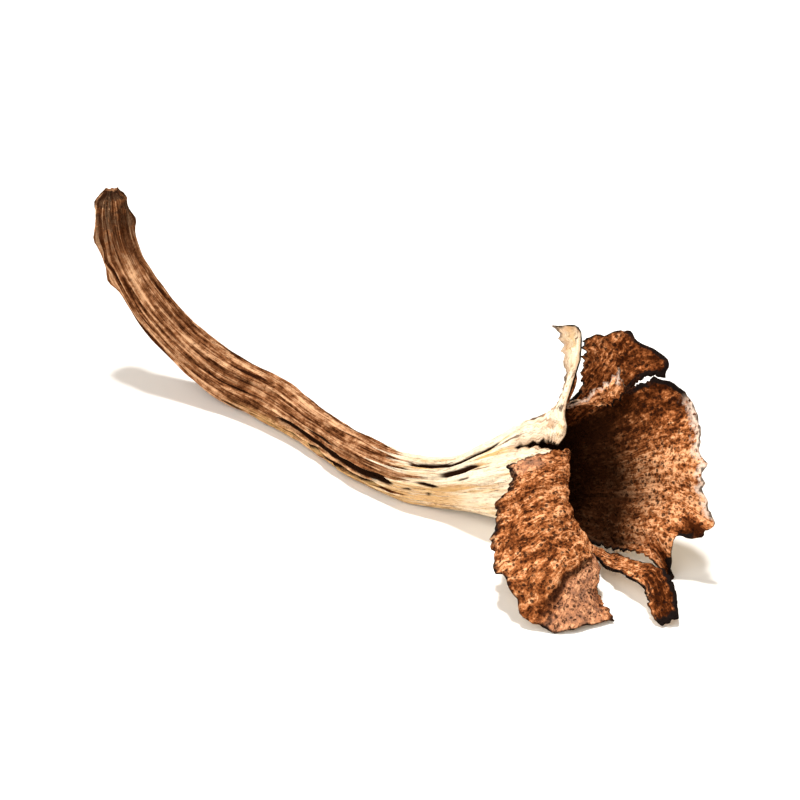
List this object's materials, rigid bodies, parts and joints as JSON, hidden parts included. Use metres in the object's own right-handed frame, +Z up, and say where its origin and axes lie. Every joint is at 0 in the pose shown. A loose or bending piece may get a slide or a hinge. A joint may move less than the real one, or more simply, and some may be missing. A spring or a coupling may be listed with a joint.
{
  "type": "black trumpet mushroom",
  "caption": "Black trumpet mushroom lying on its side: a hollow curved stem opening into a thin, torn, flared mouth.",
  "frame": {"origin": "middle of the outline seen from above, on the surface that the mushroom lies on", "axes": "+Z up from that surface; the mouth opens towards +X and the front (-Y); the foot of the stem is at -X, +Y"},
  "size_m": [0.0833, 0.0781, 0.0264],
  "materials": {
    "flesh": "dry matt flesh, speckled brown inside with near-black margins, cream outside, brown fibrous stem"
  },
  "bodies": {
    "root": {"mushroom": "flesh"}
  },
  "joints": []
}
